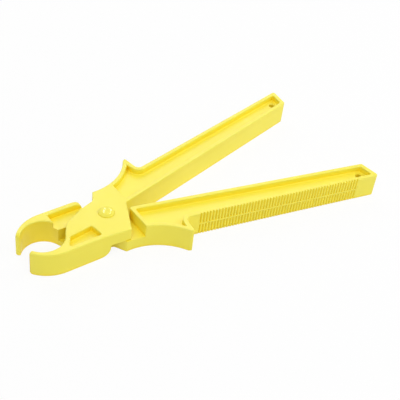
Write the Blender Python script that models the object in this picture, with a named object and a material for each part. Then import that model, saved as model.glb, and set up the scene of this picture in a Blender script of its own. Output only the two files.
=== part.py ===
# Cartridge-fuse puller: two identical moulded levers, half-lapped on one rivet pin.
# Plan view: the pivot axis is Z through the origin, handles run to +X, jaws to -X.
# Sizes are in millimetres and become metres in prism() and lathe().
import math

import bmesh
import bpy
from mathutils import Vector

MM = 0.001

# Overall
THICKNESS = 13.6
RIM = 2.2
RECESS = 3.4
LAP_GAP = 0.3
OPEN_ANGLE = math.radians(24.0)
EDGE_RADIUS = 0.6
RECESS_CORNER_RADIUS = 0.8

# Handle, measured along its inner edge (s) and square to it (t)
HANDLE_ANGLE = math.radians(13.4)
HANDLE_LENGTH = 144.4
END_SLANT = 4.3
INNER_OFFSET = -1.0
WIDTH_AT_END = 11.5
WIDTH_AT_GUARD = 14.6
END_RIM = 2.6
END_RADIUS = 1.4

# Finger guard, a hollow sweep from the plate's front corner up to the tip
GUARD_AT = 36.0
GUARD_RISE = 9.8
GUARD_TIP = 1.3
GUARD_LEAN = 0.7
GUARD_CROWN = 0.5
GUARD_ROOT_RADIUS = 2.6
SWEEP_LOW_AT = 13.8
SWEEP_LOW_RISE = 0.9
SWEEP_START = 5.6

# Hang hole
HOLE_DIAMETER = 3.4
HOLE_FROM_END = 4.6

# Grip grooves on the handle's outer side, in two rows
GROOVE_COUNT = 55
GROOVE_PITCH = 1.68
GROOVE_START = 44.4
GROOVE_WIDTH = 1.05
GROOVE_DEPTH = 0.9
GROOVE_RIB = 0.8

# Pivot plate
PLATE_RADIUS = 10.6
SWING_GAP = 0.6
STOP_GAP = 0.9
STOP_RADIUS = 1.2
STOP_WALL = 2.2
FRONT_NORMAL = math.radians(108.0)
FRONT_LEAD = 1.9
FRONT_RUN = 6.3
FRONT_ROOT_RADIUS = 1.5
REAR_ANGLE = math.radians(24.0)
NEAR_CORNER_DROP = 12.8
FLANGE_NOSE_BACK = 1.6
FLANGE_CORNER_BACK = 3.7
FLANGE_CORNER_SIDE = 2.9
FLANGE_RADIUS = 1.5

# Jaw
FUSE_DIAMETER = 20.8
FUSE_CENTRE = 34.1
JAW_HALF_WIDTH = 14.6
JAW_STRAIGHT_END = 29.3
JAW_TIP_REACH = 44.7
JAW_TIP_SIDE = 6.76
JAW_TIP_WIDTH = 1.5
JAW_HEEL_ROUND = 5.5
JAW_RIM = 2.5
THROAT_HALF_WIDTH = 3.4
THROAT_RIM = 1.2
NOSE_SOLID_AT = 25.5
JAW_RECESS_NOSE = 26.8
JAW_RECESS_HEEL = 9.6
JAW_RECESS_ROOT = 11.0

# Rivet pin
PIN_DIAMETER = 6.0
PIN_HEAD_DIAMETER = 8.2
PIN_FIT = 0.1
PIN_CHAMFER = 0.3
HEAD_SEAT = 1.6
DOME_RISE = 1.25
DOME_FULLNESS = 2.5
DOME_STEPS = 8

# Cutters run past what they cut
OUTSIDE = 60.0
OVERCUT = 1.0
CLEAR_OF_FACE = 0.05


def add(a, b):
    return (a[0] + b[0], a[1] + b[1])


def polar(radius, angle):
    return (radius * math.cos(angle), radius * math.sin(angle))


def turned(point, angle):
    x, y = point
    c = math.cos(angle)
    s = math.sin(angle)
    return (x * c - y * s, x * s + y * c)


def handle_point(s, t):
    return turned((s, t), HANDLE_ANGLE)


def arc(centre, radius, start, end, steps):
    points = []
    for i in range(steps + 1):
        angle = start + (end - start) * i / steps
        points.append(add(centre, polar(radius, angle)))
    return points


def circle(radius, steps):
    return arc((0.0, 0.0), radius, 0.0, 2.0 * math.pi * (steps - 1) / steps, steps - 1)


def meet(p, p_angle, q, q_angle):
    """Where the line through p at p_angle meets the line through q at q_angle."""
    d = polar(1.0, p_angle)
    e = polar(1.0, q_angle)
    across = d[0] * e[1] - d[1] * e[0]
    along = ((q[0] - p[0]) * e[1] - (q[1] - p[1]) * e[0]) / across
    return (p[0] + d[0] * along, p[1] + d[1] * along)


def rounded(corners):
    """Outline through corners (x, y, radius), each corner replaced by its tangent arc."""
    outline = []
    count = len(corners)
    for i in range(count):
        x, y, radius = corners[i]
        here = Vector((x, y))
        if radius <= 0.0:
            outline.append((x, y))
            continue
        back = (Vector(corners[i - 1][:2]) - here).normalized()
        ahead = (Vector(corners[(i + 1) % count][:2]) - here).normalized()
        half = back.angle(ahead) / 2.0
        reach = radius / math.tan(half)
        centre = here + (back + ahead).normalized() * radius / math.sin(half)
        first = here + back * reach - centre
        last = here + ahead * reach - centre
        start = math.atan2(first.y, first.x)
        sweep = math.remainder(math.atan2(last.y, last.x) - start, 2.0 * math.pi)
        steps = max(2, math.ceil(abs(sweep) / math.radians(22.0)))
        outline += arc(centre, radius, start, start + sweep, steps)
    return outline


def corner_list(points, radius=0.0):
    return [(x, y, radius) for x, y in points]


# Heights shared by the pieces
MID = THICKNESS / 2.0
WEB_TOP = THICKNESS - RECESS
FLANGE_UNDER = WEB_TOP + LAP_GAP

# Handle and guard values worked out from the sizes
OUTER_AT_END = INNER_OFFSET + WIDTH_AT_END
OUTER_AT_GUARD = INNER_OFFSET + WIDTH_AT_GUARD
OUTER_END = HANDLE_LENGTH + END_SLANT
OUTER_TILT = math.atan2(OUTER_AT_END - OUTER_AT_GUARD, OUTER_END - GUARD_AT)
END_TILT = math.atan2(WIDTH_AT_END, END_SLANT)
TIP_FRONT = GUARD_AT - GUARD_TIP
TIP_T = OUTER_AT_GUARD + GUARD_RISE
SWEEP_RUN = TIP_FRONT - SWEEP_LOW_AT
SWEEP_LOW_T = OUTER_AT_GUARD + SWEEP_LOW_RISE
SWEEP_RADIUS = (SWEEP_RUN ** 2 + (TIP_T - SWEEP_LOW_T) ** 2) / (2.0 * (TIP_T - SWEEP_LOW_T))
SWEEP_CENTRE_T = SWEEP_LOW_T + SWEEP_RADIUS

# Jaw values worked out from the sizes
FUSE_RADIUS = FUSE_DIAMETER / 2.0
FUSE_AXIS = (-FUSE_CENTRE, 0.0)
THROAT_AT = FUSE_RADIUS - FUSE_CENTRE
JAW_INNER = JAW_HALF_WIDTH - JAW_RIM

# Plate values worked out from the sizes
SEAT_RADIUS = PLATE_RADIUS + SWING_GAP
STOP_FACE = PLATE_RADIUS + STOP_GAP
FRONT_ALONG = FRONT_NORMAL + math.pi / 2.0
FRONT_TANGENT = polar(PLATE_RADIUS + LAP_GAP / 2.0, FRONT_NORMAL)
FRONT_ROOT = add(FRONT_TANGENT, polar(-FRONT_LEAD, FRONT_ALONG))
REAR_TANGENT = polar(PLATE_RADIUS, -REAR_ANGLE)


def sweep_height(s, radius):
    """Height t of the guard's hollow sweep at s, for its edge or for its rim's inner side."""
    return SWEEP_CENTRE_T - math.sqrt(radius ** 2 - (s - SWEEP_LOW_AT) ** 2)


def sweep_points(s_start, s_end, radius, steps):
    points = []
    for i in range(steps + 1):
        s = s_start + (s_end - s_start) * i / steps
        points.append(handle_point(s, sweep_height(s, radius)))
    return points


def jaw_nose():
    """Outer curve of the jaw: leaves the straight side at a tangent and ends at the tip."""
    run = JAW_TIP_REACH - JAW_STRAIGHT_END
    drop = JAW_HALF_WIDTH - JAW_TIP_SIDE
    radius = (run ** 2 + drop ** 2) / (2.0 * drop)
    centre = (-JAW_STRAIGHT_END, radius - JAW_HALF_WIDTH)
    start = math.atan2(-JAW_TIP_SIDE - centre[1], -JAW_TIP_REACH - centre[0])
    return arc(centre, radius, start, -math.pi / 2.0, 8)


def jaw_hollow():
    """Round of the jaw that grips the fuse, from the throat to the tip."""
    tip = add((-JAW_TIP_REACH, -JAW_TIP_SIDE), polar(JAW_TIP_WIDTH, math.radians(45.0)))
    start = -math.asin(THROAT_HALF_WIDTH / FUSE_RADIUS)
    end = math.atan2(tip[1], tip[0] + FUSE_CENTRE)
    return arc(FUSE_AXIS, FUSE_RADIUS, start, end, 16)


def lever_outline():
    rear = -REAR_ANGLE
    inner = handle_point(0.0, INNER_OFFSET)
    root = meet(REAR_TANGENT, rear + math.pi / 2.0, inner, HANDLE_ANGLE)
    near = add(REAR_TANGENT, polar(NEAR_CORNER_DROP, rear - math.pi / 2.0))
    sweep = sweep_points(TIP_FRONT, SWEEP_START, SWEEP_RADIUS, 12)
    corners = corner_list([root], EDGE_RADIUS)
    corners += corner_list([handle_point(HANDLE_LENGTH, INNER_OFFSET)], END_RADIUS)
    corners += corner_list([handle_point(OUTER_END, OUTER_AT_END)], END_RADIUS)
    corners += corner_list([handle_point(GUARD_AT, OUTER_AT_GUARD)], GUARD_ROOT_RADIUS)
    corners += corner_list([handle_point(GUARD_AT + GUARD_LEAN, TIP_T + GUARD_CROWN)], EDGE_RADIUS)
    corners += corner_list(sweep[:-1])
    corners += corner_list(sweep[-1:], EDGE_RADIUS)
    corners += corner_list([FRONT_ROOT], FRONT_ROOT_RADIUS)
    corners += corner_list([add(FRONT_TANGENT, polar(FRONT_RUN, FRONT_ALONG))], FLANGE_RADIUS)
    corners += corner_list([(THROAT_AT + FLANGE_CORNER_BACK, FLANGE_CORNER_SIDE)], FLANGE_RADIUS)
    corners += corner_list([(THROAT_AT + FLANGE_NOSE_BACK, 0.0)], EDGE_RADIUS)
    corners += corner_list(jaw_hollow())
    corners += corner_list(jaw_nose())
    corners += corner_list([(-PLATE_RADIUS, -JAW_HALF_WIDTH)])
    corners += corner_list([near], EDGE_RADIUS)
    return rounded(corners)


def handle_recess_outline():
    """Recess in each face of the handle: the outline brought in by the rim."""
    wall = STOP_FACE + STOP_WALL
    inner_t = INNER_OFFSET + RIM
    outer_start = (GUARD_AT, OUTER_AT_GUARD - RIM / math.cos(OUTER_TILT))
    end_start = (HANDLE_LENGTH - END_RIM / math.sin(END_TILT), INNER_OFFSET)
    end_in = meet(end_start, END_TILT, (0.0, inner_t), 0.0)
    end_out = meet(end_start, END_TILT, outer_start, OUTER_TILT)
    guard_s = GUARD_AT - RIM
    start_in = (wall + inner_t * math.sin(HANDLE_ANGLE)) / math.cos(HANDLE_ANGLE)
    start_out = (wall + outer_start[1] * math.sin(HANDLE_ANGLE)) / math.cos(HANDLE_ANGLE)
    sweep = sweep_points(guard_s, start_out, SWEEP_RADIUS + RIM, 10)
    corners = corner_list([handle_point(start_in, inner_t)], RECESS_CORNER_RADIUS)
    corners += corner_list([handle_point(*end_in)], RECESS_CORNER_RADIUS)
    corners += corner_list([handle_point(*end_out)], RECESS_CORNER_RADIUS)
    corners += corner_list([handle_point(guard_s, outer_start[1])], GUARD_ROOT_RADIUS + RIM)
    corners += corner_list(sweep)
    return rounded(corners)


def heel_line():
    """A point and the direction of the jaw's heel in the plan, towards the jaw's side.

    The heel lies where the front edge of the other plate comes at full opening.
    """
    line = []
    for point in (FRONT_ROOT, handle_point(SWEEP_START, sweep_height(SWEEP_START, SWEEP_RADIUS))):
        x, y = turned(point, OPEN_ANGLE)
        line.append((x - SWING_GAP, -y))
    low, high = line
    return low, math.atan2(high[1] - low[1], high[0] - low[0])


def half_lap_outline():
    """Room for the other lever's plate, from the jaw's heel to the stop face."""
    low, direction = heel_line()
    foot = meet(low, direction, (0.0, 0.0), direction + math.pi / 2.0)
    touch = math.sqrt(SEAT_RADIUS ** 2 - foot[0] ** 2 - foot[1] ** 2)
    seat = add(foot, polar(touch, direction))
    side = -JAW_HALF_WIDTH - CLEAR_OF_FACE
    heel = meet(low, direction, (0.0, side), 0.0)
    inner = handle_point(0.0, INNER_OFFSET - CLEAR_OF_FACE)
    stop_corner = meet((STOP_FACE, 0.0), math.pi / 2.0, inner, HANDLE_ANGLE)
    seat_end = math.atan2(seat[1], seat[0])
    corners = corner_list(arc((0.0, 0.0), SEAT_RADIUS, -math.radians(176.0), seat_end, 8))
    corners += corner_list([heel], EDGE_RADIUS)
    corners += corner_list([(-FUSE_CENTRE, side), (-FUSE_CENTRE, -OUTSIDE), (OUTSIDE, -OUTSIDE)])
    corners += corner_list([add(stop_corner, polar(STOP_RADIUS * 2.0, HANDLE_ANGLE))])
    corners += corner_list([stop_corner], STOP_RADIUS)
    corners += corner_list([(STOP_FACE, OUTSIDE), (-SEAT_RADIUS, OUTSIDE)])
    return rounded(corners)


def throat_outline():
    """Room for the other jaw's web in front of the pivot, under the flange."""
    start = -math.pi + math.asin(THROAT_HALF_WIDTH / PLATE_RADIUS)
    end = FRONT_NORMAL + math.radians(10.0) - 2.0 * math.pi
    points = [(-OUTSIDE, -THROAT_HALF_WIDTH)]
    points += arc((0.0, 0.0), PLATE_RADIUS, start, end, 14)
    points += [polar(OUTSIDE, end), (-OUTSIDE, OUTSIDE)]
    return points


def jaw_lower_recess_outline():
    """Recess in the jaw's lap face, open to the throat, with a rim along the outer side."""
    corners = corner_list([(-NOSE_SOLID_AT, -JAW_INNER)], RECESS_CORNER_RADIUS)
    corners += corner_list([(0.0, -JAW_INNER), (0.0, 0.0), (-NOSE_SOLID_AT, 0.0)])
    return rounded(corners)


def jaw_upper_recess_outline():
    """Closed recess in the jaw's outer face, inside the throat rim and the outer rim."""
    throat_corner = add(FUSE_AXIS, polar(FUSE_RADIUS + RIM, -math.radians(30.0)))
    corners = [
        (-JAW_RECESS_ROOT, -THROAT_HALF_WIDTH - THROAT_RIM),
        throat_corner,
        (-JAW_RECESS_NOSE, -JAW_INNER),
        (-JAW_RECESS_HEEL, -JAW_INNER),
    ]
    return rounded(corner_list(corners, RECESS_CORNER_RADIUS))


def signed_area(outline):
    total = 0.0
    for i in range(len(outline)):
        x0, y0 = outline[i - 1]
        x1, y1 = outline[i]
        total += x0 * y1 - x1 * y0
    return total / 2.0


def vertex(mesh, x, y, z, flipped):
    """Add a vertex. A flipped one is turned over about the X axis."""
    place = (x, -y, THICKNESS - z) if flipped else (x, y, z)
    return mesh.verts.new(Vector(place) * MM)


def close(mesh, first, last):
    """Close two rings of vertices into a solid."""
    mesh.faces.new(first[::-1])
    mesh.faces.new(last)
    for i in range(len(first)):
        mesh.faces.new((first[i - 1], first[i], last[i], last[i - 1]))


def prism(mesh, outline, low, high, flipped):
    """Add an upright prism."""
    if signed_area(outline) < 0.0:
        outline = outline[::-1]
    rings = []
    for z in (low, high):
        rings.append([vertex(mesh, x, y, z, flipped) for x, y in outline])
    close(mesh, *rings)


def heel_round_cutter(name, flipped):
    """Rounds the jaw's heel, seen from the side, between its outer face and its end."""
    low, direction = heel_line()
    across = direction + math.pi / 2.0
    side = meet(low, direction, (0.0, -JAW_HALF_WIDTH), 0.0)
    length = math.dist(low, side) + OVERCUT
    profile = arc((-JAW_HEEL_ROUND, JAW_HEEL_ROUND), JAW_HEEL_ROUND, 0.0, -math.pi / 2.0, 8)
    profile += [(-JAW_HEEL_ROUND, -OVERCUT), (OVERCUT, -OVERCUT), (OVERCUT, JAW_HEEL_ROUND)]
    if signed_area(profile) < 0.0:
        profile = profile[::-1]
    mesh = bmesh.new()
    rings = []
    for along in (0.0, length):
        base = add(low, polar(along, direction))
        ring = []
        for a, z in profile:
            x, y = add(base, polar(a, across))
            ring.append(vertex(mesh, x, y, z, flipped))
        rings.append(ring)
    close(mesh, *rings)
    return finish(name, mesh)


def lathe(mesh, profile, steps):
    """Add a body turned about Z from a profile of (radius, z) that starts and ends on the axis."""
    rings = []
    for radius, z in profile:
        points = circle(radius, steps) if radius > 0.0 else [(0.0, 0.0)]
        rings.append([mesh.verts.new(Vector((x, y, z)) * MM) for x, y in points])
    for lower, upper in zip(rings[:-1], rings[1:]):
        for i in range(steps):
            loop = []
            for ring, n in ((lower, i - 1), (lower, i), (upper, i), (upper, i - 1)):
                vertex = ring[n % len(ring)]
                if vertex not in loop:
                    loop.append(vertex)
            mesh.faces.new(loop)


def finish(name, mesh):
    data = bpy.data.meshes.new(name)
    mesh.to_mesh(data)
    mesh.free()
    made = bpy.data.objects.new(name, data)
    bpy.context.scene.collection.objects.link(made)
    return made


def cut(target, cutter):
    cutter.hide_render = True
    cutter.display_type = "WIRE"
    step = target.modifiers.new(cutter.name, "BOOLEAN")
    step.operation = "DIFFERENCE"
    step.solver = "EXACT"
    step.object = cutter


def prism_cutter(name, outline, low, high, flipped):
    mesh = bmesh.new()
    prism(mesh, outline, low, high, flipped)
    return finish(name, mesh)


def groove_cutter(name, flipped):
    """Two rows of upright V grooves along the handle's outer side, with a rib left between them."""
    mesh = bmesh.new()
    outward = OUTER_TILT + math.pi / 2.0
    flare = GROOVE_WIDTH / 2.0 * (GROOVE_DEPTH + OVERCUT) / GROOVE_DEPTH
    bands = ((-OVERCUT, MID - GROOVE_RIB / 2.0), (MID + GROOVE_RIB / 2.0, THICKNESS + OVERCUT))
    for i in range(GROOVE_COUNT):
        along = GROOVE_START - GUARD_AT + i * GROOVE_PITCH
        foot = add((GUARD_AT, OUTER_AT_GUARD), polar(along, OUTER_TILT))
        apex = add(foot, polar(-GROOVE_DEPTH, outward))
        face = add(foot, polar(OVERCUT, outward))
        left = add(face, polar(-flare, OUTER_TILT))
        right = add(face, polar(flare, OUTER_TILT))
        outline = [handle_point(*p) for p in (apex, right, left)]
        for low, high in bands:
            prism(mesh, outline, low, high, flipped)
    return finish(name, mesh)


def lever(name, flipped):
    mesh = bmesh.new()
    prism(mesh, lever_outline(), 0.0, THICKNESS, flipped)
    made = finish(name, mesh)
    above = THICKNESS + OVERCUT
    below = -OVERCUT
    bore = PIN_DIAMETER / 2.0 + PIN_FIT
    seat = PIN_HEAD_DIAMETER / 2.0 + PIN_FIT
    hole_at = handle_point(HANDLE_LENGTH - HOLE_FROM_END, (INNER_OFFSET + OUTER_AT_END) / 2.0)
    hole = [add(hole_at, p) for p in circle(HOLE_DIAMETER / 2.0, 24)]
    recess = handle_recess_outline()
    steps = [
        ("half_lap", half_lap_outline(), below, MID + LAP_GAP / 2.0),
        ("throat", throat_outline(), below, FLANGE_UNDER),
        ("jaw_lower_recess", jaw_lower_recess_outline(), below, RECESS),
        ("jaw_upper_recess", jaw_upper_recess_outline(), WEB_TOP, above),
        ("handle_upper_recess", recess, WEB_TOP, above),
        ("handle_lower_recess", recess, below, RECESS),
        ("pivot_bore", circle(bore, 48), below, above),
        ("pin_seat", circle(seat, 48), THICKNESS - HEAD_SEAT, above),
        ("hang_hole", hole, below, above),
    ]
    for step, outline, low, high in steps:
        cut(made, prism_cutter(name + "_" + step, outline, low, high, flipped))
    cut(made, heel_round_cutter(name + "_heel_round", flipped))
    cut(made, groove_cutter(name + "_grooves", flipped))
    return made


def rivet_pin(name):
    """Flat head let into the lower lever, shank, and a domed head let into the upper lever."""
    shank = PIN_DIAMETER / 2.0
    head = PIN_HEAD_DIAMETER / 2.0
    head_top = HEAD_SEAT - LAP_GAP
    dome_low = THICKNESS - head_top
    profile = [
        (0.0, 0.0),
        (head - PIN_CHAMFER, 0.0),
        (head, PIN_CHAMFER),
        (head, head_top),
        (shank, head_top),
        (shank, dome_low),
        (head, dome_low),
    ]
    power = 2.0 / DOME_FULLNESS
    for i in range(DOME_STEPS):
        angle = math.pi / 2.0 * i / DOME_STEPS
        rise = DOME_RISE * math.sin(angle) ** power
        profile.append((head * math.cos(angle) ** power, THICKNESS + rise))
    profile.append((0.0, THICKNESS + DOME_RISE))
    mesh = bmesh.new()
    lathe(mesh, profile, 48)
    return finish(name, mesh)


def coat(made, colour, roughness):
    material = bpy.data.materials.new(made.name + "_plastic")
    material.use_nodes = True
    shader = material.node_tree.nodes["Principled BSDF"]
    shader.inputs["Base Color"].default_value = colour
    shader.inputs["Roughness"].default_value = roughness
    made.data.materials.append(material)


def main():
    for old in list(bpy.data.objects):
        bpy.data.objects.remove(old, do_unlink=True)
    coat(lever("lower_lever", True), (0.96, 0.85, 0.07, 1.0), 0.45)
    coat(lever("upper_lever", False), (0.96, 0.85, 0.07, 1.0), 0.45)
    coat(rivet_pin("pivot_pin"), (0.94, 0.85, 0.09, 1.0), 0.35)


main()
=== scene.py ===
"""Plier-type fuse puller in moulded yellow plastic: two levers of one shape and a rivet pin.

The plan is drawn with the pivot at the origin, the handles towards +X and the jaws towards -X.
Lengths are in metres and angles in radians.
"""
import math

import bmesh
import bpy
from bpy.props import FloatProperty, FloatVectorProperty, IntProperty, PointerProperty
from bpy.types import Operator, Panel, PropertyGroup
from mathutils import Matrix, Vector


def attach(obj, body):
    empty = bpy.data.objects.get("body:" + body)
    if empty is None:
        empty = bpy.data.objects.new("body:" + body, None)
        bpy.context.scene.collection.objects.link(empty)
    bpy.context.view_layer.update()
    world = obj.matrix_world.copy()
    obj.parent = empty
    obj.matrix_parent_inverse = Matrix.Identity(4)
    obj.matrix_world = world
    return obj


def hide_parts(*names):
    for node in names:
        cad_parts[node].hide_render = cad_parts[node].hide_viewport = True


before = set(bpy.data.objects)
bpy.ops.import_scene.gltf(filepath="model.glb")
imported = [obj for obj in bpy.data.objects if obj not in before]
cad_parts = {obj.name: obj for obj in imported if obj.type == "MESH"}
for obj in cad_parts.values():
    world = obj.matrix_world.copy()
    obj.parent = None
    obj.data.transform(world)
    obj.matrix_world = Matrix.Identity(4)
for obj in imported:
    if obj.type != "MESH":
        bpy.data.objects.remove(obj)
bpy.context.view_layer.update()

bl_info = {
    "name": "Fuse puller",
    "version": (1, 0, 0),
    "blender": (4, 5, 0),
    "location": "3D View > Sidebar > Fuse puller",
    "description": "Models the levers and the rivet pin of a plier-type fuse puller",
    "category": "Add Mesh",
}

# Shared by the pieces
THICKNESS = 0.0136
MIDDLE = THICKNESS / 2.0
RECESS = 0.0034
WEB_TOP = THICKNESS - RECESS
LAP_GAP = 0.0003
OPEN_ANGLE = math.radians(24.0)
CORNER_ROUND = 0.0006
RECESS_ROUND = 0.0008
RIM = 0.0022

# Handle, along its inner edge (s) and square to it (t)
HANDLE_ANGLE = math.radians(13.4)
HANDLE_LENGTH = 0.1444
END_SLANT = 0.0043
INNER_OFFSET = -0.0010
WIDTH_AT_END = 0.0115
WIDTH_AT_GUARD = 0.0146
END_RIM = 0.0026
END_ROUND = 0.0014

# Finger guard
GUARD_AT = 0.0360
GUARD_RISE = 0.0098
GUARD_TIP = 0.0013
GUARD_LEAN = 0.0007
GUARD_CROWN = 0.0005
GUARD_ROOT_ROUND = 0.0026
SWEEP_LOW_AT = 0.0138
SWEEP_LOW_RISE = 0.0009
SWEEP_START = 0.0056

# Hang hole and grip grooves
HOLE_FROM_END = 0.0046
GROOVE_START = 0.0444
GROOVE_RIB = 0.0008

# Pivot plate
PLATE_RADIUS = 0.0106
SWING_GAP = 0.0006
STOP_GAP = 0.0009
STOP_ROUND = 0.0012
STOP_WALL = 0.0022
SEAT_START = math.radians(-176.0)
THROAT_LEAD = math.radians(10.0)
FRONT_NORMAL = math.radians(108.0)
FRONT_LEAD = 0.0019
FRONT_RUN = 0.0063
FRONT_ROOT_ROUND = 0.0015
REAR_ANGLE = math.radians(24.0)
NEAR_CORNER_DROP = 0.0128
FLANGE_NOSE_BACK = 0.0016
FLANGE_CORNER_BACK = 0.0037
FLANGE_CORNER_SIDE = 0.0029
FLANGE_ROUND = 0.0015

# Jaw
FUSE_RADIUS = 0.0104
FUSE_CENTRE = 0.0341
JAW_HALF_WIDTH = 0.0146
JAW_STRAIGHT_END = 0.0293
JAW_TIP_REACH = 0.0447
JAW_TIP_SIDE = 0.00676
JAW_TIP_WIDTH = 0.0015
JAW_TIP_SLANT = math.radians(45.0)
JAW_HEEL_ROUND = 0.0055
JAW_TIP_ROUND = 0.0014
JAW_RIM = 0.0025
THROAT_HALF_WIDTH = 0.0034
THROAT_RIM = 0.0012
NOSE_SOLID_AT = 0.0255
JAW_RECESS_NOSE = 0.0268
JAW_RECESS_HEEL = 0.0096
JAW_RECESS_ROOT = 0.0110
JAW_RECESS_SIDE = math.radians(-30.0)

# Rivet pin
PIN_RADIUS = 0.0030
PIN_HEAD_RADIUS = 0.0041
PIN_FIT = 0.0001
PIN_CHAMFER = 0.0003
HEAD_SEAT = 0.0016

# Cutters run past what they cut
OUTSIDE = 0.060
OVERCUT = 0.001

# Points nearer than these are merged
WELD = 0.00008
FINE_WELD = 0.00001

# Curves are drawn in straight steps: the turn of each step in a rounded corner, then counts
ROUND_STEP = math.radians(11.0)
NOSE_STEPS = 14
HOLLOW_STEPS = 28
SWEEP_STEPS = 24
RECESS_SWEEP_STEPS = 20
SEAT_STEPS = 16
STOP_STEPS = 10
THROAT_STEPS = 24
END_ROUND_STEPS = 10
BORE_STEPS = 64
HOLE_STEPS = 32

# Edges sharper than the first are rounded, flatter than the second are shaded smooth and
# flatter than the third are dropped
SHARP_ANGLE = math.radians(30.0)
SMOOTH_ANGLE = math.radians(40.0)
FLAT_ANGLE = math.radians(0.3)

# Face attributes: 1 on edges that get worn in use, which are painted paler as wear and as a painted
# highlight,
# 1 on the jaw's round and its inner walls, which get painted shade, and from 0 on level faces to 1
# on upright ones, which sets how much painted nook shade a face gets
WORN_AND_HIGHLIGHT_EDGES = "rubbed_and_highlight"
HOLLOW_PAINTED_SHADE = "hollow"
UPRIGHT = "upright"

# A face is a wall where its normal rises less than the first, and lies on a line of the plan
# where it is nearer to it than the second
MOST_LEAN = 0.1
ON_LINE = 0.00025

# Plastic: how far the painted shade of nooks looks for other faces, how open its three shades are,
# from
# 0 for closed in to 1 for open, how much of it level faces get, and how far the gloss strays
NOOK_SHADE_REACH = 0.003
GAP_OPEN = 0.10
NOOK_OPEN = 0.50
FULLY_OPEN = 0.92
LEVEL_SHARE = 0.40
GLOSS_SPREAD = 0.12
PLASTIC_IOR = 1.52

# Sockets of a colour mix node
MIX_FACTOR = 0
MIX_FIRST = 6
MIX_SECOND = 7
MIX_RESULT = 2

# Stage: three square lamps face the aim, and two strips 1 m from the pivot glint on the pin from
# the side of it that is away from the camera
WHITE = (1.0, 1.0, 1.0)
FLOOR_SIZE = 6.0
FLOOR_WHITENESS = 0.90
LAMP_AIM = (0.05, 0.0, 0.0)
KEY_PLACE = (-0.44, -0.61, 1.39)
KEY_SIZE = 1.4
SIDE_PLACE = (0.63, -0.31, 0.43)
SIDE_SIZE = 0.7
BACK_PLACE = (0.12, 0.82, 0.57)
BACK_SIZE = 0.9
STRIP_LEFT = math.radians(17.5)
STRIP_RIGHT = math.radians(-9.5)
STRIP_HEIGHT = math.radians(44.0)
STRIP_TILT = math.radians(16.0)
STRIP_WIDTH = 0.05
STRIP_LENGTH = 0.65
SENSOR_WIDTH = 36.0
NEAREST_SEEN = 0.01
FARTHEST_SEEN = 20.0

# Values worked out from the sizes
OUTER_AT_END = INNER_OFFSET + WIDTH_AT_END
OUTER_AT_GUARD = INNER_OFFSET + WIDTH_AT_GUARD
OUTER_END = HANDLE_LENGTH + END_SLANT
OUTER_TILT = math.atan2(OUTER_AT_END - OUTER_AT_GUARD, OUTER_END - GUARD_AT)
END_TILT = math.atan2(WIDTH_AT_END, END_SLANT)
TIP_FRONT = GUARD_AT - GUARD_TIP
TIP_T = OUTER_AT_GUARD + GUARD_RISE
SWEEP_LOW_T = OUTER_AT_GUARD + SWEEP_LOW_RISE
SWEEP_RISE = TIP_T - SWEEP_LOW_T
SWEEP_RADIUS = ((TIP_FRONT - SWEEP_LOW_AT) ** 2 + SWEEP_RISE ** 2) / (2.0 * SWEEP_RISE)
SWEEP_CENTRE_T = SWEEP_LOW_T + SWEEP_RADIUS
FUSE_AXIS = (-FUSE_CENTRE, 0.0)
THROAT_AT = FUSE_RADIUS - FUSE_CENTRE
JAW_WALLS_FROM = -PLATE_RADIUS / 2.0
JAW_INNER = JAW_HALF_WIDTH - JAW_RIM
SEAT_RADIUS = PLATE_RADIUS + SWING_GAP
STOP_FACE = PLATE_RADIUS + STOP_GAP
FRONT_ALONG = FRONT_NORMAL + math.pi / 2.0


class PULLER_PG_lever(PropertyGroup):
    """Details of the two levers that the mould gives."""

    edge_round: FloatProperty(
        name="Edge round",
        description="Radius of the rounded edges of the moulding",
        default=0.00055,
        min=0.0,
        unit="LENGTH",
        precision=5,
    )
    edge_steps: IntProperty(
        name="Edge steps",
        description="Faces across a rounded edge",
        default=3,
        min=1,
    )
    groove_count: IntProperty(
        name="Grooves",
        description="Grip grooves along the outer side of each handle",
        default=55,
        min=1,
    )
    groove_pitch: FloatProperty(
        name="Groove pitch",
        description="From one grip groove to the next",
        default=0.00168,
        unit="LENGTH",
        precision=5,
    )
    groove_width: FloatProperty(
        name="Groove width",
        description="Width of a grip groove at the handle's outer side",
        default=0.00105,
        unit="LENGTH",
        precision=5,
    )
    groove_depth: FloatProperty(
        name="Groove depth",
        description="Depth of a grip groove",
        default=0.00090,
        unit="LENGTH",
        precision=5,
    )
    hole_diameter: FloatProperty(
        name="Hang hole",
        description="Diameter of the hole at the handle's end",
        default=0.0034,
        unit="LENGTH",
        precision=5,
    )


class PULLER_PG_pin(PropertyGroup):
    """Details of the rivet pin."""

    dome_rise: FloatProperty(
        name="Dome rise",
        description="How far the pin's domed head stands over the upper lever",
        default=0.00125,
        unit="LENGTH",
        precision=5,
    )
    dome_fullness: FloatProperty(
        name="Dome fullness",
        description="2 gives an ellipse in section, more gives a flatter top and steeper side",
        default=2.2,
        min=1.0,
    )
    dome_steps: IntProperty(
        name="Dome steps",
        description="Rings of faces in the domed head",
        default=18,
        min=4,
    )
    steps: IntProperty(
        name="Steps",
        description="Faces round the pin",
        default=64,
        min=16,
    )


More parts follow.
